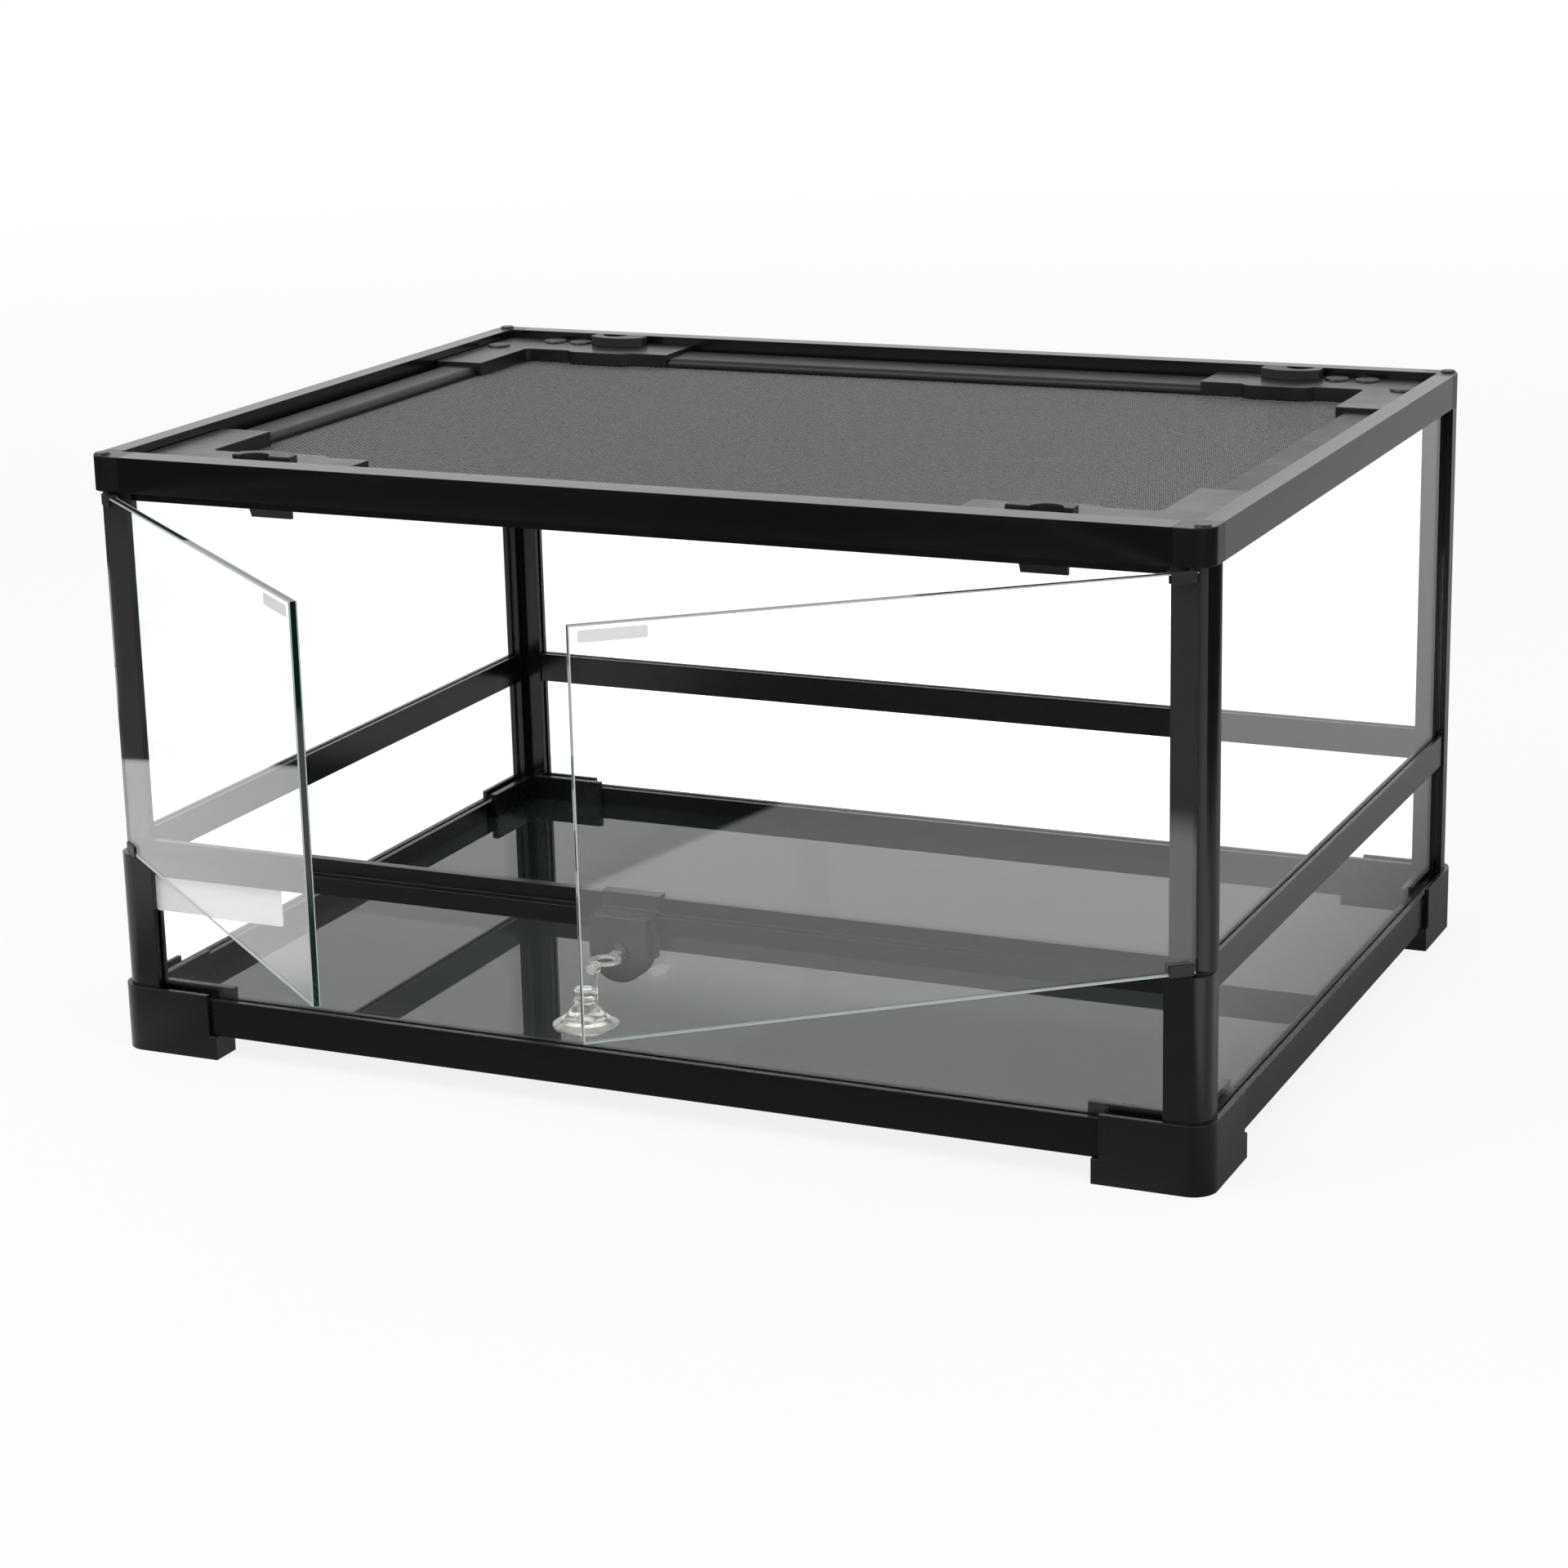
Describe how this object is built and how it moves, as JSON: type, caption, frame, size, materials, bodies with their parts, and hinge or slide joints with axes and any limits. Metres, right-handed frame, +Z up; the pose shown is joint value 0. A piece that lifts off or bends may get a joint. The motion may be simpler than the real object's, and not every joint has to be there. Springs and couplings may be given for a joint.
{
  "type": "reptile terrarium",
  "caption": "Low glass terrarium with a black frame on corner feet, two hinged front doors over a fixed window, a latched lift-off mesh lid and a keyed sill lock.",
  "frame": {"origin": "centre of the tank's footprint, on the surface that the feet stand on", "axes": "+X to the right of someone facing the doors, +Y from the doors to the back, +Z up"},
  "size_m": [0.615, 0.6467, 0.3262],
  "materials": {
    "frame_black": "semi-gloss black, extruded",
    "pane_glass": "clear float glass, polished edges",
    "door_glass": "clear float glass, polished green-tinted edges",
    "floor_glass": "dark glossy bottom pane",
    "pivot_plastic": "matt black",
    "lid_plastic": "satin black moulding",
    "mesh_metal": "fine black-coated wire mesh",
    "lock_plastic": "satin dark grey moulding",
    "lock_steel": "nickel plated",
    "clear_vinyl": "clear soft vinyl"
  },
  "bodies": {
    "tank": {"foot_front_left": "frame_black", "foot_front_right": "frame_black", "foot_back_left": "frame_black", "foot_back_right": "frame_black", "base_rail_front": "frame_black", "base_rail_back": "frame_black", "base_rail_left": "frame_black", "base_rail_right": "frame_black", "base_corner_blocks": "frame_black", "post_front_left": "frame_black", "post_front_right": "frame_black", "post_back_left": "frame_black", "post_back_right": "frame_black", "door_sill": "frame_black", "mid_rail_left": "frame_black", "mid_rail_right": "frame_black", "mid_rail_back": "frame_black", "top_rail_front": "frame_black", "top_rail_back": "frame_black", "top_rail_left": "frame_black", "top_rail_right": "frame_black", "top_corner_front_left": "frame_black", "top_corner_front_right": "frame_black", "top_corner_back_left": "frame_black", "top_corner_back_right": "frame_black", "floor_pane": "floor_glass", "front_window": "pane_glass", "left_pane_lower": "pane_glass", "left_pane_upper": "pane_glass", "right_pane_lower": "pane_glass", "right_pane_upper": "pane_glass", "back_pane_lower": "pane_glass", "back_pane_upper": "pane_glass"},
    "left_door": {"door_left_glass": "door_glass", "door_left_pivots": "pivot_plastic"},
    "right_door": {"door_right_glass": "door_glass", "door_right_pivots": "pivot_plastic"},
    "lid": {"lid_rail_front": "lid_plastic", "lid_rail_back": "lid_plastic", "lid_rail_left": "lid_plastic", "lid_rail_right": "lid_plastic", "lid_plate_front_left": "lid_plastic", "lid_plate_front_right": "lid_plastic", "lid_plate_back_left": "lid_plastic", "lid_plate_back_right": "lid_plastic", "cable_port_plugs": "lid_plastic", "lid_mesh": "mesh_metal"},
    "latch_front_left": {"latch_front_left": "lid_plastic"},
    "latch_front_right": {"latch_front_right": "lid_plastic"},
    "latch_back_left": {"latch_back_left": "lid_plastic"},
    "latch_back_right": {"latch_back_right": "lid_plastic"},
    "lock": {"lock_body": "lock_plastic"},
    "bolt": {"lock_bolt": "lock_steel"},
    "key": {"lock_cylinder": "lock_steel", "lock_cam": "lock_steel", "lock_key": "lock_steel"},
    "tether": {"key_link": "clear_vinyl", "suction_cup": "clear_vinyl"}
  },
  "joints": [
    {"name": "left_door_hinge", "type": "hinge", "parent": "tank", "child": "left_door", "pos_m": [-0.295, -0.2262, 0.2], "axis": [0, 0, -1], "range_deg": [-39.5, 60]},
    {"name": "right_door_hinge", "type": "hinge", "parent": "tank", "child": "right_door", "pos_m": [0.295, -0.2262, 0.2], "axis": [0, 0, 1], "range_deg": [-40, 60]},
    {"name": "lid_lift", "type": "slide", "parent": "tank", "child": "lid", "axis": [0, 0, 1], "range_m": [0, 0.08]},
    {"name": "latch_front_left_slide", "type": "slide", "parent": "lid", "child": "latch_front_left", "axis": [0, -1, 0], "range_m": [0, 0.004]},
    {"name": "latch_front_right_slide", "type": "slide", "parent": "lid", "child": "latch_front_right", "axis": [0, -1, 0], "range_m": [0, 0.004]},
    {"name": "latch_back_left_slide", "type": "slide", "parent": "lid", "child": "latch_back_left", "axis": [0, 1, 0], "range_m": [0, 0.004]},
    {"name": "latch_back_right_slide", "type": "slide", "parent": "lid", "child": "latch_back_right", "axis": [0, 1, 0], "range_m": [0, 0.004]},
    {"name": "lock_lift", "type": "slide", "parent": "tank", "child": "lock", "axis": [0, 0, 1], "range_m": [0, 0.03]},
    {"name": "key_turn", "type": "hinge", "parent": "lock", "child": "key", "pos_m": [0, -0.2385, 0.0925], "axis": [0, 1, 0], "range_deg": [0, 90]},
    {"name": "bolt_slide", "type": "slide", "parent": "lock", "child": "bolt", "axis": [0, 0, 1], "range_m": [0, 0.005]},
    {"name": "tether_swing", "type": "hinge", "parent": "key", "child": "tether", "pos_m": [0, -0.2643, 0.0925], "axis": [0, 1, 0], "range_deg": [-90, 0]}
  ],
  "couplings": [
    {"joint": "bolt_slide", "follows": "key_turn", "m_per_rad": 0.00318},
    {"joint": "tether_swing", "follows": "key_turn", "ratio": -1}
  ]
}
